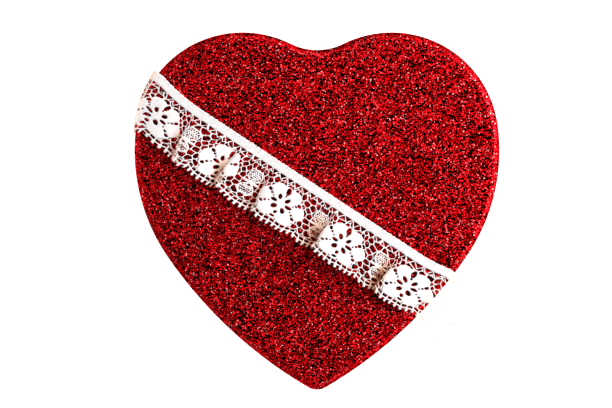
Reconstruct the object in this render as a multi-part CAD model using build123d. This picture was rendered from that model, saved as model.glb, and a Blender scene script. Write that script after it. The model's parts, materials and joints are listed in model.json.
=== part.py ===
from build123d import *
import math
import os

# Heart-shaped gift box with a lift-off lid and a gathered lace trim across the lid.
# Lengths in millimetres, angles in degrees. The origin is under the base, on the heart's middle line
# and half way from lobe to tip. +Z is up, +Y points to the cleft.

# Heart outline of the lid, drawn with arcs that run smoothly into each other
lobe_radius = 58.6
lobe_spread = 81.3
side_start_angle = 8.0
tip_drop = 136.6
side_radius_share = 0.747
flank_radius_share = 1.765
tip_radius = 9.3
cleft_radius = 32.0

# Sheets that the box is made of
glitter_sheet = 0.5
wrap_paper = 0.3
lining_paper = 0.25
wall_board = 1.2
flat_board = 1.6
seam_tape = 0.2

# Heights and turned edges
base_height = 36.0
lid_depth = 24.0
padding_height = 4.0
padding_round_share = 0.875
cover_lip = 8.0
turn_in = 9.0
lining_margin = 2.0
lid_clearance = 0.6
bottom_margin = 2.0
seam_gap = 0.4
seam_tape_width = 20.0
seam_tape_clearance = 0.06

# Lace trim: lie on the lid, tape, net and its gathers
lace_angle = -33.5
lace_rise = 11.4
heading_width = 4.8
heading_thickness = 0.5
net_thickness = 0.6
net_width = 33.2
lace_clearance = 0.1
rim_clearance = 0.5
crease_shares = (0.0, 0.155, 0.31, 0.42, 0.61, 0.825, 1.0)
gather_heights = (4.5, 5.0, 4.0, 5.0, 5.5, 4.5)
stations_per_gather = 8
net_bands = 4
tail_drop = 24.0
left_flare = 4.0
right_flare = 13.0
rim_steps = 4
tail_steps = 3

# Holes in the net: flowers, leaves between them, rows, and notches between the edge's scallops
flower_shares = (0.067, 0.275, 0.483, 0.683, 0.9)
petal_count = 6
eyelet_gap = 2.4
eyelet_ring_share = 0.15
petal_gap = 2.0
petal_ring_share = 0.335
leaf_gap = 1.6
leaf_gap_count = 8
leaf_ring_share = 0.2
row_gap = 1.8
row_pitch_share = 2.1
notch_width = 4.4
notch_shares = (0.27, 0.73)

# Stitches along the tape
stitch_length = 2.0
stitch_pitch = 3.4
stitch_width = 0.5
stitch_height = 0.3
stitch_inset = 0.9

# Each layer's distance in from the lid's outline
cover_in = glitter_sheet
lid_wrap_in = cover_in + glitter_sheet
lid_band_in = lid_wrap_in + wall_board
lid_flap_in = lid_band_in + glitter_sheet
lid_lining_in = lid_flap_in + lining_paper
base_out = lid_lining_in + lid_clearance
base_wrap_in = base_out + wrap_paper
base_band_in = base_wrap_in + wall_board
base_flap_in = base_band_in + wrap_paper
base_lining_in = base_flap_in + lining_paper

# Levels from the table up
base_board_z = lining_paper + wrap_paper
base_lining_z = base_board_z + flat_board
base_floor_z = base_lining_z + lining_paper
base_band_top = base_height - wrap_paper
base_flap_z = base_height - turn_in
lid_edge_z = base_height - lid_depth
lid_band_z = lid_edge_z + glitter_sheet
lid_flap_top = lid_edge_z + turn_in
lid_board_z = base_height + lining_paper
lid_band_top = lid_board_z + flat_board
padding_top = lid_band_top + padding_height
cover_top = padding_top + glitter_sheet
padding_round = padding_height * padding_round_share
cover_round = padding_round + glitter_sheet
net_z = cover_top + lace_clearance
heading_top = net_z + net_thickness + heading_thickness

# Radii and centres of the outline's arcs on the right half
side_radius = tip_drop * side_radius_share
flank_radius = tip_drop * flank_radius_share
lobe_y = (tip_drop - lobe_radius) / 2
lobe_centre = Vector(lobe_spread / 2, lobe_y)
side_way = Vector(1, 0).rotate(Axis.Z, side_start_angle)
side_centre = lobe_centre + side_way * (lobe_radius - side_radius)
tip_centre = Vector(0, lobe_y - tip_drop + tip_radius)
cleft_rise = math.sqrt((lobe_radius + cleft_radius) ** 2 - (lobe_spread / 2) ** 2)
cleft_centre = Vector(0, lobe_y + cleft_rise)


def far_centre(first, first_distance, second, second_distance):
    """The point at two distances from two points, on the side away from the right edge."""
    span = second - first
    along = (first_distance**2 - second_distance**2 + span.length**2) / (2 * span.length)
    aside = math.sqrt(first_distance**2 - along**2)
    way = span.normalized()
    return first + way * along + way.rotate(Axis.Z, -90) * aside


flank_centre = far_centre(
    side_centre, flank_radius - side_radius, tip_centre, flank_radius - tip_radius
)


def heading_of(way):
    return math.degrees(math.atan2(way.Y, way.X))


def outline(inset):
    """Closed outline of the heart, moved in from the lid's edge."""
    lobe_start = heading_of(cleft_centre - lobe_centre)
    flank_start = heading_of(side_centre - flank_centre)
    flank_end = heading_of(tip_centre - flank_centre)
    round_tip = tip_radius > inset
    if not round_tip:
        flank_end = -math.degrees(math.acos(-flank_centre.X / (flank_radius - inset)))
    arcs = [
        (cleft_centre, cleft_radius + inset, -90, lobe_start - 90),
        (lobe_centre, lobe_radius - inset, lobe_start, side_start_angle - lobe_start),
        (side_centre, side_radius - inset, side_start_angle, flank_start - side_start_angle),
        (flank_centre, flank_radius - inset, flank_start, flank_end - flank_start),
    ]
    if round_tip:
        arcs.append((tip_centre, tip_radius - inset, flank_end, -90 - flank_end))
    right = [CenterArc(*arc) for arc in arcs]
    left = [
        CenterArc((-centre.X, centre.Y), radius, 180 - start, -turn)
        for centre, radius, start, turn in arcs
    ]
    return Wire(right + left)


def plate(inset, bottom, top):
    return extrude(Pos(0, 0, bottom) * Face(outline(inset)), amount=top - bottom, dir=(0, 0, 1))


def ring(outer, inner, bottom, top):
    return plate(outer, bottom, top) - plate(inner, bottom, top)


def rounded_plate(inset, bottom, top, radius):
    """A plate whose upper edge is rounded."""
    solid = plate(inset, bottom, top)
    return fillet(solid.faces().sort_by(Axis.Z)[-1].edges(), radius)


def cleft_block(width, bottom, top):
    """A block round the cleft's middle, where the wall strips meet end to end."""
    depth = lobe_y + lobe_radius
    return Pos(0, 0, bottom) * Box(
        width, depth, top - bottom, align=(Align.CENTER, Align.MIN, Align.MIN)
    )


def wall_band(outer, inner, bottom, top):
    """A board strip bent round the heart, butted at the cleft, and the tape let into its seam."""
    face = inner - seam_tape_clearance
    block = cleft_block(seam_tape_width, bottom, top)
    tape = ring(face - seam_tape, face, bottom, top) & block
    recess = ring(face - seam_tape, inner, bottom, top) & block
    band = ring(outer, inner, bottom, top) - recess - cleft_block(seam_gap, bottom, top)
    return band, tape


# Base
def base_wall_wrap():
    skin = ring(base_out, base_wrap_in, lining_paper, base_height)
    over_edge = ring(base_out, base_flap_in, base_band_top, base_height)
    flap = ring(base_band_in, base_flap_in, base_flap_z, base_height)
    under_board = ring(base_out, base_out + turn_in, lining_paper, base_board_z)
    return skin + over_edge + flap + under_board


def base_wall_lining():
    low = ring(base_band_in, base_band_in + lining_paper, base_floor_z, base_flap_z)
    step = ring(base_band_in, base_lining_in, base_flap_z - lining_paper, base_flap_z)
    high = ring(
        base_flap_in, base_lining_in, base_flap_z - lining_paper, base_height - lining_margin
    )
    return low + step + high


# Lid
def lid_wall_wrap():
    skin = ring(cover_in, lid_wrap_in, lid_edge_z, lid_band_top)
    under_edge = ring(cover_in, lid_flap_in, lid_edge_z, lid_band_z)
    flap = ring(lid_band_in, lid_flap_in, lid_edge_z, lid_flap_top)
    return skin + under_edge + flap


def lid_wall_lining():
    high = ring(lid_band_in, lid_band_in + lining_paper, lid_flap_top, base_height)
    step = ring(lid_band_in, lid_lining_in, lid_flap_top, lid_flap_top + lining_paper)
    low = ring(
        lid_flap_in, lid_lining_in, lid_edge_z + lining_margin, lid_flap_top + lining_paper
    )
    return high + step + low


def lid_padding():
    return rounded_plate(cover_in, lid_band_top, padding_top, padding_round)


def lid_cover():
    lip_z = lid_band_top - cover_lip
    outside = rounded_plate(0, lip_z, cover_top, cover_round)
    inside = rounded_plate(cover_in, lip_z, padding_top, padding_round)
    return outside - inside


# Lace
along = Vector(1, 0).rotate(Axis.Z, lace_angle)
across = along.rotate(Axis.Z, -90)
up = Vector(0, 0, 1)
lid_edge = outline(0)


def rim_crossing(offset, way):
    """Where the line at this offset leaves the lid, and the level way out there."""
    middle = across * (offset - lace_rise)
    far = middle + way * (2 * lobe_spread + 2 * lobe_radius)
    hits = Edge.make_line(middle, far).intersect(lid_edge)
    point = max((hit.center() for hit in hits), key=lambda hit: (hit - middle).length)
    out = lid_edge.tangent_at(lid_edge.param_at_point(point)).cross(up)
    if out.dot(way) < 0:
        out = out * -1
    return point, out


def flat_ends(offset):
    """The two points on this line where the lid's flat top begins to round over."""
    ends = []
    for way in (along * -1, along):
        point, out = rim_crossing(offset, way)
        ends.append(point - out * cover_round)
    return ends


def tail(offset, way, flare):
    """Points down one end of the lace from the rim, each with the way its thickness goes."""
    point, out = rim_crossing(offset, way)
    centre = point - out * cover_round + up * (cover_top - cover_round)
    stations = []
    for step in range(1, rim_steps + 1):
        turn = math.radians(90 * step / rim_steps)
        facing = up * math.cos(turn) + out * math.sin(turn)
        lift = lace_clearance + (rim_clearance - lace_clearance) * step / rim_steps
        stations.append((centre + facing * (cover_round + lift), facing))
    start = stations[-1][0]
    run = tail_drop - cover_round
    for step in range(1, tail_steps + 1):
        share = step / tail_steps
        hang = out * (flare * math.sin(math.radians(90 * share))) - up * (run * share)
        stations.append((start + hang, out))
    return stations


def gather_lift(share):
    """Height of the free edge above the lid at this share of the way along."""
    for left, right, height in zip(crease_shares, crease_shares[1:], gather_heights):
        if left <= share <= right:
            return height * math.sin(math.pi * (share - left) / (right - left))
    return 0


def rail(offset, free_share):
    """Points of one line along the lace, from the end of one tail to the end of the other."""
    left_tail = tail(offset, along * -1, left_flare * free_share)
    right_tail = tail(offset, along, right_flare * free_share)
    left_end, right_end = flat_ends(offset)
    over_lid = []
    for left, right in zip(crease_shares, crease_shares[1:]):
        first = 0 if left == crease_shares[0] else 1
        for step in range(first, stations_per_gather + 1):
            share = left + (right - left) * step / stations_per_gather
            level = net_z + gather_lift(share) * free_share
            over_lid.append((left_end + (right_end - left_end) * share + up * level, up))
    return left_tail[::-1] + over_lid + right_tail


def facets(first, second):
    """Two flat facets in each place between two lines of points."""
    made = []
    for a, b, c, d in zip(first, first[1:], second[1:], second):
        for corners in ((a, b, c), (a, c, d)):
            made.append(Face(Wire.make_polygon(corners, close=True)))
    return made


def sheet(rails, low, high):
    """A thin folded sheet between two distances out from its rails."""
    under = [[point + facing * low for point, facing in line] for line in rails]
    over = [[point + facing * high for point, facing in line] for line in rails]
    faces = facets(under[0], over[0]) + facets(under[-1], over[-1])
    for side in (under, over):
        for near, far in zip(side, side[1:]):
            faces += facets(near, far)
    for end in (0, -1):
        faces += facets([line[end] for line in under], [line[end] for line in over])
    return Solid(Shell(faces)).clean()


def net_gap(place, diameter):
    """A round hole straight down through the net."""
    height = 2 * (max(gather_heights) + net_thickness)
    hole = Cylinder(diameter / 2, height, align=(Align.CENTER, Align.CENTER, Align.MIN))
    return Pos(place + up * cover_top) * hole


def gap_circle(centre, radius, count, start_share, diameter):
    """Holes evenly round a circle, the first turned by a share of one step."""
    step = 360 / count
    places = [along.rotate(Axis.Z, step * (number + start_share)) for number in range(count)]
    return [net_gap(centre + place * radius, diameter) for place in places]


def gap_row(offset):
    """Holes in a row along the net, over the flat of the lid."""
    left_end, right_end = flat_ends(offset)
    span = right_end - left_end
    count = int(span.length / (row_gap * row_pitch_share))
    return [net_gap(left_end + span * ((n + 1 / 2) / count), row_gap) for n in range(count)]


def net_gaps():
    """Holes round the flowers and leaves, rows along the net, and notches between scallops."""
    left_end, right_end = flat_ends((heading_width + net_width) / 2)
    left_edge, right_edge = flat_ends(net_width)
    depth = net_width - heading_width
    gaps = gap_row(heading_width + row_gap) + gap_row(net_width - 2 * row_gap)
    for share in flower_shares:
        centre = left_end + (right_end - left_end) * share
        gaps += gap_circle(centre, depth * eyelet_ring_share, petal_count, 0, eyelet_gap)
        gaps += gap_circle(centre, depth * petal_ring_share, petal_count, 1 / 2, petal_gap)
    for near, far in zip(flower_shares, flower_shares[1:]):
        centre = left_end + (right_end - left_end) * ((near + far) / 2)
        gaps += gap_circle(centre, depth * leaf_ring_share, leaf_gap_count, 0, leaf_gap)
        for notch_share in notch_shares:
            place = left_edge + (right_edge - left_edge) * (near + (far - near) * notch_share)
            gaps.append(net_gap(place, notch_width))
    return gaps


def lace_ruffle():
    rails = [rail(0, 0)]
    for band in range(net_bands + 1):
        share = band / net_bands
        rails.append(rail(heading_width + (net_width - heading_width) * share, share))
    return sheet(rails, 0, net_thickness) - net_gaps()


def lace_heading():
    rails = [rail(0, 0), rail(heading_width, 0)]
    return sheet(rails, net_thickness, net_thickness + heading_thickness)


def lace_stitches():
    """Stitches along the tape's upper edge, over the flat of the lid."""
    left_end, right_end = flat_ends(stitch_inset)
    middle = (left_end + right_end) * (1 / 2) + up * heading_top
    count = int((right_end - left_end).length / stitch_pitch)
    stitches = []
    for number in range(count):
        place = middle + along * ((number - (count - 1) / 2) * stitch_pitch)
        stitch = Box(
            stitch_length,
            stitch_width,
            stitch_height,
            align=(Align.CENTER, Align.CENTER, Align.MIN),
        )
        stitches.append(Location(place, (0, 0, lace_angle)) * stitch)
    return Compound(children=stitches)


base_band, base_tape = wall_band(base_wrap_in, base_band_in, base_board_z, base_band_top)
lid_band, lid_tape = wall_band(lid_wrap_in, lid_band_in, lid_band_z, lid_band_top)

nodes = {
    "base_board": plate(base_band_in, base_board_z, base_lining_z),
    "base_wall_band": base_band,
    "base_seam_tape": base_tape,
    "base_wall_wrap": base_wall_wrap(),
    "base_bottom_paper": plate(base_out + bottom_margin, 0, lining_paper),
    "base_floor_lining": plate(base_band_in, base_lining_z, base_floor_z),
    "base_wall_lining": base_wall_lining(),
    "lid_top_board": plate(lid_band_in, lid_board_z, lid_band_top),
    "lid_wall_band": lid_band,
    "lid_seam_tape": lid_tape,
    "lid_wall_wrap": lid_wall_wrap(),
    "lid_top_lining": plate(lid_band_in, base_height, lid_board_z),
    "lid_wall_lining": lid_wall_lining(),
    "lid_padding": lid_padding(),
    "lid_cover": lid_cover(),
    "lace_ruffle": lace_ruffle(),
    "lace_heading": lace_heading(),
    "lace_stitches": lace_stitches(),
}

os.makedirs("parts", exist_ok=True)
for name, solid in nodes.items():
    solid.label = name
    export_step(solid, f"parts/{name}.step")
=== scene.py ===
# A heart-shaped gift box on a pale floor: glitter lid crossed by gathered lace, papered base
import json
import math
from collections import namedtuple

import bpy
import numpy as np
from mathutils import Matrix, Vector, noise
from mathutils.bvhtree import BVHTree


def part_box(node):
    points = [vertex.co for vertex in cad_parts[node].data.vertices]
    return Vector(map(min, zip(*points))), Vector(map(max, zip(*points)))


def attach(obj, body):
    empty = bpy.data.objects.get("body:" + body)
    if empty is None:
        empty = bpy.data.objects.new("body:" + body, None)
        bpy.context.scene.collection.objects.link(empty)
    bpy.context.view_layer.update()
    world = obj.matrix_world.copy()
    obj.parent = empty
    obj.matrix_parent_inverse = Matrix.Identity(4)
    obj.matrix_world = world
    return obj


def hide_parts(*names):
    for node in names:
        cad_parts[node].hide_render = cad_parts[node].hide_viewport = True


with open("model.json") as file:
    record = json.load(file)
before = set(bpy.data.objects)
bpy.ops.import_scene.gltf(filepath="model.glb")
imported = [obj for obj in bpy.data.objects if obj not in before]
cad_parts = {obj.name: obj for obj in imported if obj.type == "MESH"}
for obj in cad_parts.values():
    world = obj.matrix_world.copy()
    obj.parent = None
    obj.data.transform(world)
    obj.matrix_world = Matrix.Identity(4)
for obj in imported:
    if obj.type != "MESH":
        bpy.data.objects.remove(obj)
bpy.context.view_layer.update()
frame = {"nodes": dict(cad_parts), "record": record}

nodes = frame["nodes"]

# The object's lengths are millimetres, and turn to metres where a mesh or a texture is made
MM = 0.001

# The lid: its top from the frame, and how its cover is rounded and turned down at the edge
lid_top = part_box("lid_cover")[1].z / MM
cover_round = 4.0
cover_lip = 8.0

# The trim's place: a slanting line across the lid, bowed up at both ends
lace_angle = math.radians(-33.5)
lace_rise = 11.4
left_bow = 3.8
left_bow_run = 25.0
right_bow = 2.0
right_bow_run = 16.0
along = np.array((math.cos(lace_angle), math.sin(lace_angle)))
across = np.array((math.sin(lace_angle), -math.cos(lace_angle)))

# The cloth of the lace: its depth goes down from the tape's lower edge, where it springs up off the lid
net_depth = 29.2
net_half = 0.3
lace_clearance = 0.12
net_level = lid_top + lace_clearance + net_half
tuck = 1.2
relief = 0.16
relief_fade = 1.4
spring = 1.1
spring_reach = 2.2
spring_run = 25.0

# The woven tape above it, with a looped selvedge that each stitch nicks
heading_width = 4.8
tape_half = 0.45
tape_edge = 0.3
tape_lap = 0.35
tape_level = 0.1
tape_step = 0.25
weave_pitch = 0.9
weave_relief = 0.12
selvedge_pitch = 1.5
selvedge_wave = 0.12
selvedge_power = 4
nick = 0.3
nick_reach = 0.35

# The stitches along the tape's upper edge, which dip into it at both ends
stitch_pitch = 3.4
stitch_stray_share = 0.5
stitch_length = 1.5
stitch_half = 0.17
stitch_inset = 0.65
stitch_bulge = 0.14
stitch_taper_power = 4
stitch_end_share = 0.1
stitch_dip = 0.1
stitch_dip_reach = 0.4
stitch_steps = 8
stitch_sides = 8

# The creases between gathers, as shares of the way along the free edge
crease_shares = (0, 0.137, 0.291, 0.418, 0.662, 0.884, 1)

# How far to the right of its even place along the tape each crease is
tape_shifts = (0, 3.5, 5.0, 0.8, -1.5, -3.0, 0)

# Each gather: its height, the lean of its crest to the left, its pinch, the rises of its edge, and its
# painted shade: a cream-to-brown colour standing in for the shadow and the red light bounced into the fold
# at its right end, and how far that reaches
Gather = namedtuple("Gather", "height lean pinch left_rise right_rise tan tan_reach")
gathers = (
    Gather(1.6, 0.3, 0.3, 1.6, 0.8, 0.5, 1.6),
    Gather(4.9, 2.4, 0.92, 0.0, 1.4, 0.75, 2.6),
    Gather(4.8, 2.2, 0.92, 3.4, 0.0, 0.8, 2.0),
    Gather(5.0, 2.4, 0.92, 0.4, 3.4, 0.9, 5.0),
    Gather(6.2, 2.9, 0.92, 3.2, 2.6, 1.0, 2.5),
    Gather(4.8, 2.4, 0.92, 1.4, 3.2, 0.0, 1.0),
)

# How finely a gather is drawn, and how it swells from the tape to the free edge
gather_steps = 60
swell_power = 0.8

# Each fold between gathers: the share of painted shade on the ridge over it and its reach, and how far the
# edge is drawn up beside it
ridge_painted_shade_share = 0.35
ridge_reach = 1.2
fold_rise = 1.3
fold_reach = 2.5

# How the painted shade in the folds comes in from the tape to the free edge
painted_shade_depth_shares = (0.2, 0.65)
least_fade_share = 0.01

# The ends over the rim: how far each stands out and flares, by the tape and the free edge, and the painted
# shade on its bend, standing in for the shadow there and red light off the lid
End = namedtuple("End", "stand free_stand flare free_flare tan tan_reach")
left_tail = End(2.3, 0.6, 0.3, 0.8, 0.5, 2.6)
right_tail = End(2.8, 2.8, 8.0, 21.0, 0.35, 6.0)
tail_drop = 24.0
tail_length = tail_drop - cover_round + (cover_round + net_half) * math.pi / 2

# The slant of the first flower, which fades to the right, and the room it takes at the ends of the pattern
slant = 0.42
slant_run = 32.0
slant_room = 14.0

# The pattern: one repeat is a flower between two leaves, the same on both sides
repeat = 48.6
first_flower = 6.0
flower_depth = 15.9

# How much of the pattern a length of cloth takes up
drawn_share = 0.944

# How far the pattern wanders as the cloth is pulled, and over what length
wander = 0.28
wander_length = 11.0
flat_wander_share = 0.6
depth_wander_share = 0.3

# The plaited ground, pulled slantwise near the tape, and the row of triangular gaps along the tape
thread = 0.23
seam_thread = 0.4
cell_width = 4.0
cell_height = 3.1
cell_stray_share = 0.65
cell_reach = 2
zigzag_pitch = 6.2
zigzag_top = 0.3
zigzag_depth = 3.3
pull_share = 0.3
pull_depth = 9.0
pull_length = 19.0

# The scalloped free edge, with its ladder of bars and its picots
flower_scallop = 13.4
scallop_rise = 2.5
edge_half = 0.35
ladder = 2.7
bar_half = 0.27
picots_per_repeat = 17
picot_half = 0.6
picot_length = 1.55
picot_end = net_depth + picot_length + picot_half

# The leaves of gauze, with depths from the tape, and the bar that joins them
Oval = namedtuple("Oval", "x y wide tall turn", defaults=(0,))
leaves = (Oval(0.0, 10.3, 4.6, 4.1), Oval(0.0, 19.3, 4.6, 3.7))
leaf_rim = 0.5
leaf_bar_depth = 14.9
leaf_bar_half = 0.7
leaf_bar_reach = 5.0
gauze_pitch = 1.35
gauze_hole = 0.47
gauze_stray = 0.35
gauze_shift_share = 0.3
hex_share = math.sqrt(3) / 2

# The right half of a flower, from its middle, with depth going down
petals = (
    Oval(0.0, 0.0, 8.0, 6.6),
    Oval(5.3, -7.1, 4.5, 3.9),
    Oval(10.4, -0.3, 4.0, 4.5),
    Oval(5.3, 6.8, 4.5, 3.8),
    Oval(0.0, -8.2, 2.8, 3.2),
    Oval(0.0, 7.8, 2.8, 2.9),
    Oval(9.2, -4.6, 2.4, 2.3),
    Oval(9.2, 4.4, 2.4, 2.2),
)
flower_holes = (
    Oval(2.7, -3.6, 1.8, 1.15, 53),
    Oval(4.4, -0.3, 2.0, 1.0, 4),
    Oval(2.6, 3.1, 1.8, 1.3, -50),
    Oval(0.0, -8.7, 2.3, 1.5, 90),
    Oval(0.0, -5.6, 0.8, 0.6, 90),
    Oval(0.0, 6.1, 1.2, 0.95, 90),
    Oval(0.0, 8.9, 1.5, 0.8),
    Oval(9.7, -4.8, 1.25, 1.0, 30),
    Oval(8.0, -3.4, 0.75, 0.65),
    Oval(6.5, -2.3, 0.5, 0.5),
    Oval(8.1, 2.8, 0.8, 0.7),
    Oval(9.7, 4.6, 1.15, 0.9, -20),
    Oval(6.4, 1.6, 0.5, 0.5),
)

# Fixed scatter: how much a column, a row and a use count, how widely they are spread, and the uses
column_weight = 127.1
row_weight = 311.7
use_weight = 74.7
stray_spread = 43758.5453
cell_across, cell_down, hole_size, stitch_place, hole_across, hole_down = range(1, 7)

# How finely the lace is cut out, and how near a cut may come to a corner of its grid
grid_step = 0.375
least_share = 0.1
normal_step_share = 0.25

# The rows of its map for baking
bake_rows = 2
bake_margin = 1.0

# The lines that find the lid's rim, and the curve that smooths it
rim_lines = 30
rim_margin = 1.0
rim_fit_order = 3

# The pad: how coarse its mesh is, how far it stays inside its solid, and its lumps
wadding_voxel = 1.4
wadding_inset = 0.12
wadding_lump = 4.0
wadding_sink = 0.5

# Glitter: flakes of one size, each with its own red, tilt and gloss
flake = 0.5
flake_tilt = 0.5
flake_roughness = (0.4, 0.7)
flake_edge = (0.4, 0.008, 0.012, 1)
colour_middle = (0.5, 0.5, 0.5)

# Painted highlight on the cover's rounded edge: how much brighter the flakes are painted on a bend, by how
# far up it faces
painted_rim_light_gains = ((0.75, 0.0), (0.92, 0.45), (0.98, 0.45), (1.0, 0.0))

# The reds of the flakes, from the darkest to the brightest, picked at random for each flake: the
# near-black ones are partly painted shade and the pink-white ones painted glints
flake_reds_with_painted_glints = (
    (0.00, 0.001, 0.0001, 0.0001),
    (0.60, 0.003, 0.0002, 0.0003),
    (0.65, 0.30, 0.001, 0.002),
    (0.78, 0.80, 0.003, 0.006),
    (0.94, 1.00, 0.010, 0.018),
    (0.98, 1.00, 0.06, 0.08),
    (1.00, 1.00, 0.40, 0.38),
)

# Cotton: its white and its shade, and the pitch and depth of its weave
Cotton = namedtuple("Cotton", "light shade pitch bump")
# The lace's pinkish shade tone, mottled at random, is partly painted red light from the lid showing
# through the cloth
lace_look = Cotton((0.90, 0.885, 0.88), (0.83, 0.76, 0.75), 0.5, 0.1)
tape_look = Cotton((0.92, 0.905, 0.905), (0.86, 0.82, 0.82), 0.45, 0.1)
thread_look = Cotton((0.9, 0.8, 0.78), (0.8, 0.62, 0.6), 0.3, 0.05)
mottle_length = 1.6
weave_strength = 0.6
cotton_roughness = 0.85
cotton_sheen = 0.25

# How the painted shade darkens cotton from white through cream to brown, warm as if lit by red light off
# the lid
painted_shade_stops = ((0.0, 1.0, 1.0, 1.0), (0.4, 1.0, 0.74, 0.58), (1.0, 0.48, 0.18, 0.07))

# Paper, board and wadding: two tones, the roughness, the length of the fibres and how far they stand up
Paper = namedtuple("Paper", "light dark roughness fibre bump")
paper_looks = {
    "grey_board": Paper((0.50, 0.47, 0.42), (0.30, 0.28, 0.25), 0.9, 0.5, 0.08),
    "kraft_tape": Paper((0.58, 0.41, 0.25), (0.40, 0.26, 0.14), 0.75, 0.4, 0.05),
    "red_paper": Paper((0.36, 0.003, 0.007), (0.23, 0.002, 0.004), 0.7, 0.5, 0.05),
    "white_paper": Paper((0.90, 0.88, 0.84), (0.78, 0.75, 0.70), 0.8, 0.5, 0.05),
}
wadding_look = Paper((0.93, 0.93, 0.91), (0.76, 0.75, 0.72), 0.95, 0.6, 0.3)
dark_stop = 0.12
light_stop = 0.42
fibres_per_cloud = 12
fibre_strength = 0.5
paper_shine = 0.12

# Textures: octaves of soft noise and of fibres, and how many radians a wave texture turns in one unit
soft_detail = 4
fibre_detail = 8
wave_turn = 20

# Floor, camera and lights, in metres and watts, with the camera's sensor in millimetres
floor_side = 6.0
floor_grey = (0.93, 0.93, 0.93, 1)
floor_roughness = 0.9
floor_glow = 0.95
white = (1, 1, 1, 1)
view_height = 1.2
view_middle = (-0.00603, 0.00384)
view_width = 0.333
sensor = 36.0
surround_glow = 0.09
Softbox = namedtuple("Softbox", "place side power")
softboxes = {
    "key": Softbox((1.67, 0.78, 1.44), 1.6, 62.0),
    "fill": Softbox((-1.5, 0.5, 1.0), 1.0, 7.0),
    "left": Softbox((-1.3, 0.2, 0.3), 0.6, 11.0),
    "right": Softbox((1.3, 0.1, 0.3), 0.6, 24.0),
    "front": Softbox((-0.2, -1.3, 0.3), 0.6, 3.0),
}


# Small helpers
def stray(column, row, use):
    """A fixed number from -0.5 to 0.5 for each cell and use."""
    wave = np.sin(column * column_weight + row * row_weight + use * use_weight) * stray_spread
    return wave - np.floor(wave) - 0.5


def near(distance, reach):
    """One at no distance, and falling softly to nothing past the reach."""
    return np.exp(-((distance / reach) ** 2))


def rounded(from_edge, edge, half):
    """Half the thickness of a sheet whose edges are rounded."""
    return half * np.sqrt(1 - (1 - np.clip(from_edge / edge, 0, 1)) ** 2)


def past_ends(place, length):
    """How far each place is past the end of a length, or below zero before its start."""
    return np.minimum(place, 0) + np.maximum(place - length, 0)


# The flat pattern of the lace
def oval_reach(x, y, oval):
    """How far in from an oval's edge each point is, below zero outside."""
    turn = math.radians(oval.turn)
    right = x - oval.x
    down = y - oval.y
    u = right * math.cos(turn) - down * math.sin(turn)
    v = right * math.sin(turn) + down * math.cos(turn)
    return (1 - np.hypot(u / oval.wide, v / oval.tall)) * min(oval.wide, oval.tall)


def net_threads(x, depth):
    """How far inside a thread each point of the plaited ground is."""
    nearest = np.full(x.shape, np.inf)
    second = np.full(x.shape, np.inf)
    steps = range(-cell_reach, cell_reach + 1)
    for row_step in steps:
        for column_step in steps:
            row = np.floor(depth / cell_height) + row_step
            column = np.floor(x / cell_width) + column_step
            middle = column + 0.5 + 0.5 * (row % 2) + cell_stray_share * stray(column, row, cell_across)
            level = row + 0.5 + cell_stray_share * stray(column, row, cell_down)
            away = np.hypot(x - middle * cell_width, depth - level * cell_height)
            second = np.minimum(second, np.maximum(nearest, away))
            nearest = np.minimum(nearest, away)
    return thread - (second - nearest) / 2


def scallop(x):
    """Depth of the free edge at each place in the repeat."""
    flower_share = x / flower_scallop
    leaf_share = (repeat / 2 - x) / (repeat / 2 - flower_scallop)
    arch = np.sqrt(np.clip(1 - np.minimum(flower_share, leaf_share) ** 2, 0, 1))
    return net_depth - scallop_rise * (1 - arch)


def leaf_gauze(x, depth, reach):
    """A leaf of fine gauze: a plain rim round rows of pinholes."""
    row = depth / (gauze_pitch * hex_share)
    column = x / gauze_pitch + 0.5 * (np.floor(row) % 2)
    cell = (np.floor(column), np.floor(row))
    from_side = column % 1 - 0.5 - gauze_shift_share * stray(*cell, hole_across)
    from_top = row % 1 - 0.5 - gauze_shift_share * stray(*cell, hole_down)
    size = gauze_hole + gauze_stray * stray(*cell, hole_size)
    pinhole = np.hypot(from_side, from_top * hex_share) * gauze_pitch - size
    return np.where(reach > leaf_rim, np.minimum(reach, pinhole), reach)


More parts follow.
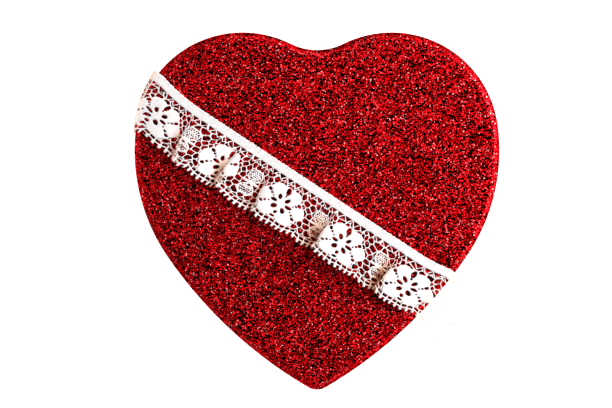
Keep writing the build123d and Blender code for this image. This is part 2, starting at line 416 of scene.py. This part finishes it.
def lace_field(flat, depth):
    """How far inside the lace's threads each point of the flat cloth is, below zero in its gaps."""
    bend = 2 * math.pi / wander_length
    flat = flat + wander * np.sin(bend * (depth + flat_wander_share * flat))
    drift = wander * np.sin(bend * (flat - depth_wander_share * depth))
    depth = depth + drift * np.clip(depth / net_depth, 0, 1)
    x = np.abs(((flat - first_flower) * drawn_share + repeat / 2) % repeat - repeat / 2)
    inside = scallop(x) - depth
    # plaited ground, pulled slantwise by the gathers near the tape
    pull = pull_share * np.sin(2 * math.pi * flat / pull_length) * np.maximum(pull_depth - depth, 0)
    made = net_threads(x + pull, depth)
    # row of triangular gaps under the tape
    peak = zigzag_top + zigzag_depth * 2 * np.abs((flat / zigzag_pitch) % 1 - 0.5)
    slope = 1 / math.hypot(1, 2 * zigzag_depth / zigzag_pitch)
    zigzag = thread - np.abs(depth - peak) * slope
    made = np.where(depth < peak, zigzag, np.maximum(made, zigzag))
    # ladder of bars along the free edge
    tooth = np.abs((x / repeat * picots_per_repeat + 0.5) % 1 - 0.5) * repeat / picots_per_repeat
    rails = np.maximum(edge_half - np.abs(inside - edge_half), thread - np.abs(inside - ladder))
    made = np.where(inside < ladder, np.maximum(rails, bar_half - tooth), np.maximum(made, rails))
    # pair of gauze leaves, joined by a bar
    from_leaf = repeat / 2 - x
    for leaf in leaves:
        reach = oval_reach(from_leaf, depth, leaf)
        made = np.where(reach > 0, leaf_gauze(from_leaf, depth, reach), np.maximum(made, reach))
    bar = np.minimum(leaf_bar_half - np.abs(depth - leaf_bar_depth), leaf_bar_reach - from_leaf)
    made = np.maximum(made, bar)
    # flower with its holes
    down = depth - flower_depth
    flower = np.max([oval_reach(x, down, petal) for petal in petals], axis=0)
    hole = np.max([oval_reach(x, down, hole) for hole in flower_holes], axis=0)
    made = np.where(flower > 0, np.minimum(flower + thread, -hole), np.maximum(made, flower))
    # band under the tape, free edge and its picots
    made = np.maximum(made, seam_thread - depth)
    made = np.minimum(made, inside)
    picot = picot_half - np.hypot(tooth, np.maximum(-inside - picot_length, 0))
    return np.where(inside < edge_half, np.maximum(made, picot), made)


# The lid's rim, where the lace goes over it
rim_depths = np.linspace(-heading_width - left_bow, picot_end + rim_margin, rim_lines)
lid_mesh = nodes["lid_cover"].data
lid_tree = BVHTree.FromPolygons(
    [vertex.co for vertex in lid_mesh.vertices], [polygon.vertices for polygon in lid_mesh.polygons]
)


def rim_table(way):
    """Where lines at each depth leave the lid on one side: point and level way out, smoothed."""
    rim_level = lid_top - (cover_round + cover_lip) / 2
    far_out = np.ptp([corner.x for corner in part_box("lid_cover")]) / MM
    rows = []
    for depth in rim_depths:
        start = across * (depth + heading_width - lace_rise) + along * (way * far_out)
        heading = Vector((*(along * -way), 0))
        hit, normal, _, _ = lid_tree.ray_cast(Vector((*start, rim_level)) * MM, heading)
        rows.append((hit.x / MM, hit.y / MM, *normal.xy.normalized()))
    columns = np.array(rows).T
    fits = [np.polyfit(rim_depths, column, rim_fit_order) for column in columns]
    return np.column_stack([np.polyval(fit, rim_depths) for fit in fits])


def rim_at(table, depth):
    """Flat end of the lid's top and the way out, at each depth."""
    x, y, out_x, out_y = (np.interp(depth, rim_depths, column) for column in table.T)
    out = np.stack((out_x, out_y), -1)
    return np.stack((x, y), -1) - out * cover_round, out


def rim_drift(table, depth):
    """How far along one rim is at each depth, past where it is at the flowers' middles."""
    ends = rim_at(table, depth)[0] @ along
    return ends - (rim_at(table, np.array([flower_depth]))[0] @ along)


def run_at(depth):
    """How far it is over the lid from rim to rim at one depth."""
    left_end, right_end = (rim_at(table, np.array([depth]))[0][0] for table in (left_rim, right_rim))
    return np.linalg.norm(right_end - left_end)


left_rim = rim_table(-1)
right_rim = rim_table(1)
free_run = run_at(net_depth)
heading_run = run_at(-heading_width / 2)

# The gathers, step by step along the free edge
Fold = namedtuple("Fold", "place lift tan rise")
Cloth = namedtuple("Cloth", "length edge_share lift tan rise head_share")


def make_fold(left, right, gather):
    """One gather between two creases, before its neighbours paint shade on it and draw it up."""
    steps = np.linspace(0, 1, gather_steps, endpoint=False)
    turns = 2 * math.pi * steps
    lift = gather.height * (1 - np.cos(turns)) / 2
    even = steps - gather.pinch * np.sin(turns) / (2 * math.pi)
    place = (left + (right - left) * even) * free_run - gather.lean * lift
    rise = gather.left_rise + (gather.right_rise - gather.left_rise) * steps
    return Fold(place, lift, np.zeros(gather_steps), rise)


def fold_under(before, after, gather):
    """Paints shade, cream to brown, on the end of one gather, which goes under the next, and on the ridge
    that hides it, and draws both up.
    """
    ridge = np.argmin(after.place)
    under = np.maximum(after.place[ridge] - before.place, 0)
    before.tan[:] = np.maximum(before.tan, gather.tan * near(under, gather.tan_reach))
    before.rise[:] += fold_rise * near(under, fold_reach)
    past = after.place - after.place[ridge]
    past[:ridge] = 0
    after.tan[:] = gather.tan * ridge_painted_shade_share * near(past, ridge_reach)
    after.tan[:ridge] = gather.tan
    after.rise[:] += fold_rise * near(past, fold_reach)


def gather_cloth():
    """The gathered cloth, step by step from its left end to its right."""
    folds = [make_fold(*edges) for edges in zip(crease_shares, crease_shares[1:], gathers)]
    for before, after, gather in zip(folds, folds[1:], gathers):
        fold_under(before, after, gather)
    end = Fold((free_run,), (0,), (gathers[-1].tan,), (gathers[-1].right_rise,))
    place, lift, tan, rise = (np.concatenate(column) for column in zip(*folds, end))
    lengths = np.hypot(np.diff(place), np.diff(lift))
    length = np.concatenate(((0,), np.cumsum(lengths)))
    creases = length[::gather_steps]
    taped = creases / length[-1] + np.array(tape_shifts) / free_run
    return Cloth(length, place / free_run, lift, tan, rise, np.interp(length, creases, taped))


cloth = gather_cloth()
cloth_length = cloth.length[-1]


# Laying the cloth on the lid
def lay_cloth(flat, depth, raised=0):
    """Places in space of points of the flat cloth, laid over the lid and down its two ends."""
    edge_share, lift, rise, head_share = (
        np.interp(flat, cloth.length, column)
        for column in (cloth.edge_share, cloth.lift, cloth.rise, cloth.head_share)
    )
    free_share = np.maximum(depth, 0) / net_depth
    swell = free_share**swell_power
    run = head_share * free_run
    bow = left_bow * np.maximum(1 - run / left_bow_run, 0) ** 2
    bow = bow + right_bow * np.maximum(1 - (free_run - run) / right_bow_run, 0) ** 2
    drawn = bow + rise * free_share**2
    left_end, left_out = rim_at(left_rim, depth - drawn)
    right_end, right_out = rim_at(right_rim, depth - drawn)
    share = (head_share + (edge_share - head_share) * swell)[:, None]
    level = left_end + (right_end - left_end) * share
    run_in = np.clip(np.minimum(flat, cloth_length - flat) / spring_run, 0, 1)
    springing = spring * (1 - np.exp(-np.maximum(depth, 0) / spring_reach)) * run_in
    height = net_level + raised + lift * swell + springing
    bend = cover_round + net_level - lid_top + raised
    for past, out, tail in (
        (np.maximum(-flat, 0), left_out, left_tail),
        (np.maximum(flat - cloth_length, 0), right_out, right_tail),
    ):
        turn = np.minimum(past / bend, math.pi / 2)
        drop = np.maximum(past - bend * math.pi / 2, 0)
        flare = tail.flare + (tail.free_flare - tail.flare) * free_share
        stand = tail.stand + (tail.free_stand - tail.stand) * free_share
        hang = flare * np.sin(math.pi / 2 * np.minimum(drop / tail_drop, 1))
        level = level + out * (np.sin(turn) * bend + stand * np.sin(turn / 2) + hang)[:, None]
        height = height - bend * (1 - np.cos(turn)) - drop
    return np.column_stack((level, height))


def cloth_normals(flat, depth):
    """The way up from the cloth at each point."""
    step = grid_step * normal_step_share
    by_flat = lay_cloth(flat + step, depth) - lay_cloth(flat - step, depth)
    by_depth = lay_cloth(flat, depth + step) - lay_cloth(flat, depth - step)
    normal = np.cross(by_depth, by_flat)
    return normal / np.linalg.norm(normal, axis=1)[:, None]


def slanted(flat, depth):
    """Where points of the pattern lie on the cloth: straight down, but slantwise at the first flower."""
    fade = np.clip(1 - np.maximum(flat, 0) / slant_run, 0, 1) ** 2
    flat = flat - slant * (depth - flower_depth) * fade
    share = np.clip(flat / cloth_length, 0, 1)
    drift = rim_drift(left_rim, depth) * (1 - share) + rim_drift(right_rim, depth) * share
    heads = cloth.head_share * free_run
    run = np.interp(flat, cloth.length, heads) + past_ends(flat, cloth_length) - drift
    return np.interp(run, heads, cloth.length) + past_ends(run, free_run)


def painted_bend_shade(flat):
    """How much painted shade the cloth takes where its ends turn down over the rim."""
    turn = cover_round * math.pi / 2
    tint = np.zeros(flat.shape)
    for past, tail in ((-flat, left_tail), (flat - cloth_length, right_tail)):
        tint = np.where(past > 0, tail.tan * near(past - turn, tail.tan_reach), tint)
    return tint


# Making meshes
def add_piece(name, points, faces, material, body):
    """A smooth mesh piece in millimetres that rides on a body."""
    mesh = bpy.data.meshes.new(name)
    mesh.from_pydata((np.asarray(points) * MM).tolist(), [], faces)
    mesh.polygons.foreach_set("use_smooth", np.full(len(mesh.polygons), True))
    mesh.materials.append(material)
    piece = bpy.data.objects.new(name, mesh)
    bpy.context.scene.collection.objects.link(piece)
    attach(piece, body)
    return piece


def give_flat(piece, places):
    """Keeps each point's place on the flat cloth and its painted shade, for its material."""
    kept = piece.data.attributes.new("flat", "FLOAT_VECTOR", "POINT")
    kept.data.foreach_set("vector", np.asarray(places, dtype=np.float32).ravel())


def give_bake_map(piece, flat, depth, upper_count):
    """A map for baking: the flat cloth cut into rows, its lower side's rows above its upper side's."""
    mesh = piece.data
    vertex = np.empty(len(mesh.loops), dtype=np.int32)
    mesh.loops.foreach_get("vertex_index", vertex)
    first = np.empty(len(mesh.polygons), dtype=np.int32)
    mesh.polygons.foreach_get("loop_start", first)
    corners = np.diff(np.append(first, len(vertex)))
    row_length = np.ptp(flat) / bake_rows
    row = np.minimum((flat[vertex[first]] - flat.min()) // row_length, bake_rows - 1)
    start = np.repeat(row * row_length + flat.min(), corners)
    shelf = np.repeat(row + bake_rows * (np.arange(len(first)) >= upper_count), corners)
    right = (flat[vertex] - start + bake_margin) / (row_length + 2 * bake_margin)
    up = (depth[vertex] - depth.min() + bake_margin) / (np.ptp(depth) + 2 * bake_margin)
    places = np.column_stack((right, (shelf + up) / (2 * bake_rows)))
    mesh.uv_layers.new(name="OFBake").uv.foreach_set("vector", places.astype(np.float32).ravel())


def cut_out(field):
    """Rings of the sheet where a field on a grid is above zero, its vertices' places and its border."""
    number = {}
    places = []

    def vertex(key, place):
        """Number of the vertex with that key, which is added if it is new."""
        if key not in number:
            number[key] = len(places)
            places.append(place)
        return number[key]

    solid = field > 0
    used = solid[:-1, :-1] | solid[1:, :-1] | solid[1:, 1:] | solid[:-1, 1:]
    rings = []
    for row, column in np.argwhere(used):
        corners = ((row, column), (row + 1, column), (row + 1, column + 1), (row, column + 1))
        ring = []
        for here, there in zip(corners, corners[1:] + corners[:1]):
            if solid[here]:
                ring.append(vertex(here, here))
            if solid[here] != solid[there]:
                low, high = sorted((here, there))
                share = np.clip(field[low] / (field[low] - field[high]), least_share, 1 - least_share)
                place = (low[0] + (high[0] - low[0]) * share, low[1] + (high[1] - low[1]) * share)
                ring.append(vertex((low, high), place))
        rings.append(ring)
    border = np.array([isinstance(key[0], tuple) for key in number])
    return rings, np.array(places), border


# The lace, its tape and its stitches
def cut_lace():
    """The flat lace, cut out on a grid: its rings, its vertices' places, its border and its sizes."""
    flats = np.arange(-tail_length - slant_room, cloth_length + tail_length + slant_room, grid_step)
    depths = np.arange(-tuck, picot_end + grid_step, grid_step)
    grid_flat, grid_depth = np.meshgrid(flats, depths)
    grid_laid = slanted(grid_flat.ravel(), grid_depth.ravel()).reshape(grid_flat.shape)
    ends = np.minimum(grid_laid + tail_length, cloth_length + tail_length - grid_laid)
    field = np.minimum(lace_field(grid_flat, grid_depth), np.minimum(ends, grid_depth - depths[0]))
    rings, places, border = cut_out(field)
    flat = flats[0] + places[:, 1] * grid_step
    depth = depths[0] + places[:, 0] * grid_step
    cut_size = ((depths[-1] - depths[0]) * MM, (cloth_length + 2 * tail_length) * MM)
    threads_area = np.count_nonzero(field > 0) * (grid_step * MM) ** 2
    return rings, flat, depth, border, cut_size, threads_area


def make_lace(material):
    """The gathered lace: cut from its flat pattern, laid in folds, with rounded threads."""
    rings, flat, depth, border, cut_size, threads_area = cut_lace()
    reach = np.where(border, 0, np.maximum(lace_field(flat, depth), 0))
    half = rounded(reach, thread, net_half)
    raised = relief * (1 - np.exp(-reach / relief_fade))
    laid = slanted(flat, depth)
    middle = lay_cloth(laid, depth)
    normal = cloth_normals(laid, depth)
    upper = middle + normal * (half + raised)[:, None]
    inner = np.flatnonzero(~border)
    lower = (middle - normal * half[:, None])[inner]
    below = np.arange(len(flat))
    below[inner] = len(flat) + np.arange(len(inner))
    faces = rings + [[below[corner] for corner in reversed(ring)] for ring in rings]
    lace = add_piece("lace_trim", np.vstack((upper, lower)), faces, material, "lid")
    # painted shade: cream to brown in the folds, fading up toward the tape, and on the bends over the rim
    fade = np.interp(depth / net_depth, painted_shade_depth_shares, (least_fade_share, 1))
    tan = fade * np.interp(laid, cloth.length, cloth.tan, 0, 0) ** (1 / fade) + painted_bend_shade(laid)
    keep = np.column_stack((flat, depth, tan))
    both = np.vstack((keep, keep[inner]))
    give_flat(lace, both)
    give_bake_map(lace, both[:, 0], both[:, 1], len(rings))
    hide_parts("lace_ruffle")
    return lace, cut_size, threads_area


def tape_places(length, depth, raised):
    """Places in space of points of the tape, which isn't gathered: length runs along the tape itself."""
    flat = np.interp(length / heading_run, cloth.head_share, cloth.length)
    return lay_cloth(flat + past_ends(length, heading_run), depth, raised)


def stitch_middles():
    """Middle of each stitch along the tape, between the two rims."""
    count = int(heading_run / stitch_pitch)
    places = np.arange(count)
    return (places + 0.5 + stitch_stray_share * stray(places, 0, stitch_place)) * heading_run / count


def make_tape(material):
    """The woven heading: a flat tape with a looped selvedge, dimpled at each stitch."""
    lengths = np.arange(-tail_length, heading_run + tail_length, tape_step)
    width = heading_width + tape_lap
    spread = np.linspace(0, 1, int(width / tape_step) + 1)
    length, share = (values.ravel() for values in np.meshgrid(lengths, spread, indexing="ij"))
    loop = selvedge_wave * np.sin(2 * math.pi * length / selvedge_pitch)
    for middle in stitch_middles():
        loop = loop + nick * near(length - middle, nick_reach)
    depth = tape_lap - width * (1 - share) + loop * (1 - share) ** selvedge_power
    half = rounded(np.minimum(share, 1 - share) * width, tape_edge, tape_half)
    weave = np.cos(2 * math.pi * length / weave_pitch) * np.cos(2 * math.pi * depth / weave_pitch)
    dips = np.zeros(length.shape)
    for middle in stitch_middles():
        for end in (middle - stitch_length / 2, middle + stitch_length / 2):
            away = np.hypot(length - end, depth + heading_width - stitch_inset)
            dips = dips + stitch_dip * near(away, stitch_dip_reach)
    upper = tape_places(length, depth, tape_level + half + weave_relief * weave - dips)
    lower = tape_places(length, depth, tape_level - half)
    rows = len(lengths)
    columns = len(spread)
    number = np.arange(rows * columns).reshape(rows, columns)
    rings = np.concatenate((number, number[:, ::-1] + rows * columns), axis=1)
    faces = []
    for ring, following in zip(rings, rings[1:]):
        for here in range(len(ring)):
            faces.append((ring[here - 1], ring[here], following[here], following[here - 1]))
    faces.append(tuple(reversed(rings[0])))
    faces.append(tuple(rings[-1]))
    tape = add_piece("lace_tape", np.vstack((upper, lower)), faces, material, "lid")
    # the tape's ends take the same painted shade on their bends over the rim
    past = np.where(length < heading_run / 2, length, length - heading_run + cloth_length)
    keep = np.column_stack((length, depth, painted_bend_shade(past)))
    give_flat(tape, np.vstack((keep, keep)))
    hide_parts("lace_heading")
    return tape


def make_stitches(material):
    """Running stitches that hold the tape: short threads that rise out of it and go back in."""
    points = []
    faces = []
    for middle in stitch_middles():
        first = len(points)
        for step in np.linspace(-1, 1, stitch_steps):
            girth = stitch_half * math.sqrt(max(1 - step**stitch_taper_power, stitch_end_share))
            rise = stitch_bulge * (1 - 2 * step**2)
            for side in range(stitch_sides):
                turn = 2 * math.pi * side / stitch_sides
                length = np.array([middle + step * stitch_length / 2])
                depth = np.array([stitch_inset - heading_width + girth * math.cos(turn)])
                raised = tape_level + tape_half + rise + girth * math.sin(turn)
                points.append(tape_places(length, depth, raised)[0])
        for step in range(stitch_steps - 1):
            start = first + step * stitch_sides
            for side in range(stitch_sides):
                here = start + side
                there = start + (side + 1) % stitch_sides
                faces.append((here, there, there + stitch_sides, here + stitch_sides))
        faces.append(tuple(range(first + stitch_sides - 1, first - 1, -1)))
        faces.append(tuple(range(len(points) - stitch_sides, len(points))))
    stitches = add_piece("lace_stitching", points, faces, material, "lid")
    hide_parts("lace_stitches")
    return stitches


def make_wadding(material):
    """The pad under the cover: loose fibre, with its lumps inside the space that its solid holds."""
    start = bpy.data.objects.new("wadding_start", nodes["lid_padding"].data.copy())
    bpy.context.scene.collection.objects.link(start)
    remesh = start.modifiers.new("remesh", "REMESH")
    remesh.voxel_size = wadding_voxel * MM
    mesh = bpy.data.meshes.new_from_object(start.evaluated_get(bpy.context.evaluated_depsgraph_get()))
    points = []
    for vertex in mesh.vertices:
        lump = noise.noise(vertex.co / (wadding_lump * MM))
        sunk = wadding_sink * (1 + lump) / 2 * max(vertex.normal.z, 0)
        points.append((vertex.co - vertex.normal * (wadding_inset + sunk) * MM) / MM)
    faces = [tuple(polygon.vertices) for polygon in mesh.polygons]
    bpy.data.objects.remove(start)
    wadding = add_piece("lid_wadding", points, faces, material, "lid")
    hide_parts("lid_padding")


# Materials
def start_material(name):
    """A new material with its tree of nodes and its surface shader."""
    material = bpy.data.materials.new(name)
    material.use_nodes = True
    return material, material.node_tree, material.node_tree.nodes["Principled BSDF"]


def add_node(tree, kind, inputs=(), **settings):
    """A node with its settings made and its inputs set or linked."""
    node = tree.nodes.new(kind)
    for name, value in settings.items():
        setattr(node, name, value)
    for name, value in dict(inputs).items():
        if isinstance(value, bpy.types.NodeSocket):
            tree.links.new(value, node.inputs[name])
        else:
            node.inputs[name].default_value = value
    return node


def add_ramp(tree, value, stops):
    """A colour for each value, through stops of (place, red, green, blue)."""
    node = add_node(tree, "ShaderNodeValToRGB", {"Fac": value})
    elements = node.color_ramp.elements
    while len(elements) < len(stops):
        elements.new(0)
    for element, (place, *colour) in zip(elements, stops):
        element.position = place
        element.color = (*colour, 1)
    return node.outputs["Color"]


def set_bump(tree, surface, height, depth, strength):
    """Bump on the surface from a height."""
    inputs = {"Height": height, "Distance": depth * MM, "Strength": strength}
    bump = add_node(tree, "ShaderNodeBump", inputs)
    tree.links.new(bump.outputs["Normal"], surface.inputs["Normal"])


def object_place(tree):
    """The point's place in the frame, in metres."""
    return add_node(tree, "ShaderNodeTexCoord").outputs["Object"]


def add_noise(tree, place, length, detail):
    """Soft noise with lumps of about that length."""
    inputs = {"Vector": place, "Scale": 1 / (length * MM), "Detail": detail}
    return add_node(tree, "ShaderNodeTexNoise", inputs).outputs["Fac"]


def glitter_material():
    """Red glitter sheet: closely packed flakes that catch the light one by one, with a painted highlight
    brightening them on a bend and painted glints among them.
    """
    material, tree, surface = start_material("red_glitter_flakes")
    place = object_place(tree)
    cells = add_node(tree, "ShaderNodeTexVoronoi", {"Vector": place, "Scale": 1 / (flake * MM)})
    parts = add_node(tree, "ShaderNodeSeparateColor", {"Color": cells.outputs["Color"]})
    # red of each flake, raised by the painted highlight on the bend
    facing = add_node(tree, "ShaderNodeNewGeometry").outputs["Normal"]
    upward = add_node(tree, "ShaderNodeSeparateXYZ", {"Vector": facing}).outputs["Z"]
    rim_light = add_ramp(tree, upward, [(level, rim_light, rim_light, rim_light) for level, rim_light in painted_rim_light_gains])
    inputs = {"Value": parts.outputs["Red"], "To Min": rim_light}
    shine = add_node(tree, "ShaderNodeMapRange", inputs).outputs["Result"]
    tree.links.new(add_ramp(tree, shine, flake_reds_with_painted_glints), surface.inputs["Base Color"])
    # tilt of each flake
    inputs = {0: cells.outputs["Color"], 1: colour_middle}
    centred = add_node(tree, "ShaderNodeVectorMath", inputs, operation="SUBTRACT")
    inputs = {0: centred.outputs[0], "Scale": flake_tilt}
    tilt = add_node(tree, "ShaderNodeVectorMath", inputs, operation="SCALE")
    leaning = add_node(tree, "ShaderNodeVectorMath", {0: facing, 1: tilt.outputs[0]}, operation="ADD")
    level = add_node(tree, "ShaderNodeVectorMath", {0: leaning.outputs[0]}, operation="NORMALIZE")
    tree.links.new(level.outputs[0], surface.inputs["Normal"])
    # gloss of each flake
    smooth, rough = flake_roughness
    inputs = {"Value": parts.outputs["Green"], "To Min": smooth, "To Max": rough}
    gloss = add_node(tree, "ShaderNodeMapRange", inputs).outputs["Result"]
    tree.links.new(gloss, surface.inputs["Roughness"])
    surface.inputs["Metallic"].default_value = 1
    surface.inputs["Specular Tint"].default_value = flake_edge
    return material


def cotton_material(name, look):
    """Cotton: warm white, with painted shade from cream to brown in the creases, and a plain weave."""
    material, tree, surface = start_material(name)
    flat = add_node(tree, "ShaderNodeAttribute", attribute_name="flat").outputs["Vector"]
    mottle = add_noise(tree, object_place(tree), mottle_length, soft_detail)
    inputs = {"Factor": mottle, "A": (*look.light, 1), "B": (*look.shade, 1)}
    cotton = add_node(tree, "ShaderNodeMix", inputs, data_type="RGBA")
    # painted shade, from the third value of the flat attribute, darkens the cotton
    crease = add_node(tree, "ShaderNodeSeparateXYZ", {"Vector": flat}).outputs["Z"]
    inputs = {"Factor": 1, "A": cotton.outputs["Result"], "B": add_ramp(tree, crease, painted_shade_stops)}
    painted_shading = add_node(tree, "ShaderNodeMix", inputs, data_type="RGBA", blend_type="MULTIPLY")
    tree.links.new(painted_shading.outputs["Result"], surface.inputs["Base Color"])
    threads = []
    for direction in ("X", "Y"):
        inputs = {"Vector": flat, "Scale": 2 * math.pi / (wave_turn * look.pitch)}
        wave = add_node(tree, "ShaderNodeTexWave", inputs, bands_direction=direction)
        threads.append(wave.outputs["Fac"])
    weave = add_node(tree, "ShaderNodeMath", {0: threads[0], 1: threads[1]}, operation="MULTIPLY")
    set_bump(tree, surface, weave.outputs[0], look.bump, weave_strength)
    surface.inputs["Roughness"].default_value = cotton_roughness
    surface.inputs["Sheen Weight"].default_value = cotton_sheen
    return material


def paper_material(name, look):
    """Paper, board or wadding: two tones in soft clouds, and fibres that also roughen it."""
    material, tree, surface = start_material(name)
    place = object_place(tree)
    clouds = add_noise(tree, place, look.fibre * fibres_per_cloud, soft_detail)
    specks = add_noise(tree, place, look.fibre, fibre_detail)
    tone = add_node(tree, "ShaderNodeMath", {0: clouds, 1: specks}, operation="MULTIPLY").outputs[0]
    colour = add_ramp(tree, tone, ((dark_stop, *look.dark), (light_stop, *look.light)))
    tree.links.new(colour, surface.inputs["Base Color"])
    set_bump(tree, surface, specks, look.bump, fibre_strength)
    surface.inputs["Roughness"].default_value = look.roughness
    surface.inputs["Specular IOR Level"].default_value = paper_shine
    return material


# Floor, camera and light
def add_floor():
    """A plain pale floor."""
    mesh = bpy.data.meshes.new("floor")
    half = floor_side / 2
    corners = [(-half, -half, 0), (half, -half, 0), (half, half, 0), (-half, half, 0)]
    mesh.from_pydata(corners, [], [range(len(corners))])
    material, _, surface = start_material("pale_floor")
    surface.inputs["Base Color"].default_value = floor_grey
    surface.inputs["Emission Color"].default_value = white
    surface.inputs["Emission Strength"].default_value = floor_glow
    surface.inputs["Roughness"].default_value = floor_roughness
    mesh.materials.append(material)
    floor = bpy.data.objects.new("floor", mesh)
    bpy.context.scene.collection.objects.link(floor)


def add_camera():
    """A camera straight above, framed as the photograph is at the level of the lid."""
    data = bpy.data.cameras.new("camera")
    data.sensor_width = sensor
    data.lens = sensor * view_height / view_width
    camera = bpy.data.objects.new("camera", data)
    camera.location = (*view_middle, lid_top * MM + view_height)
    bpy.context.scene.collection.objects.link(camera)
    bpy.context.scene.camera = camera


def add_softbox(name, softbox):
    """A square area light that faces the box."""
    data = bpy.data.lights.new(name, "AREA")
    data.size = softbox.side
    data.energy = softbox.power
    lamp = bpy.data.objects.new(name, data)
    lamp.location = softbox.place
    lamp.rotation_euler = (-Vector(softbox.place)).to_track_quat("-Z", "Y").to_euler()
    bpy.context.scene.collection.objects.link(lamp)


def set_surround():
    """Faint white light from all round, and colours shown as they are."""
    world = bpy.data.worlds.new("soft_surround")
    world.use_nodes = True
    background = world.node_tree.nodes["Background"]
    background.inputs["Color"].default_value = white
    background.inputs["Strength"].default_value = surround_glow
    bpy.context.scene.world = world
    bpy.context.scene.view_settings.view_transform = "Standard"


# The trim and the pad
lace, cut_size, threads_area = make_lace(cotton_material("lace_cotton", lace_look))
trimmings = [
    make_tape(cotton_material("tape_cotton", tape_look)),
    make_stitches(cotton_material("thread_cotton", thread_look)),
]
make_wadding(paper_material("wadding_fibre", wadding_look))

# The finish of the boards, papers and glitter sheets
slot_materials = {slot: paper_material(slot + "_fibre", look) for slot, look in paper_looks.items()}
slot_materials["red_glitter"] = glitter_material()
for part in frame["record"]["subparts"]:
    if part["material_slot"] in slot_materials:
        data = nodes[part["node"]].data
        data.materials.clear()
        data.materials.append(slot_materials[part["material_slot"]])

# The studio
add_floor()
add_camera()
for name, softbox in softboxes.items():
    add_softbox(name, softbox)
set_surround()
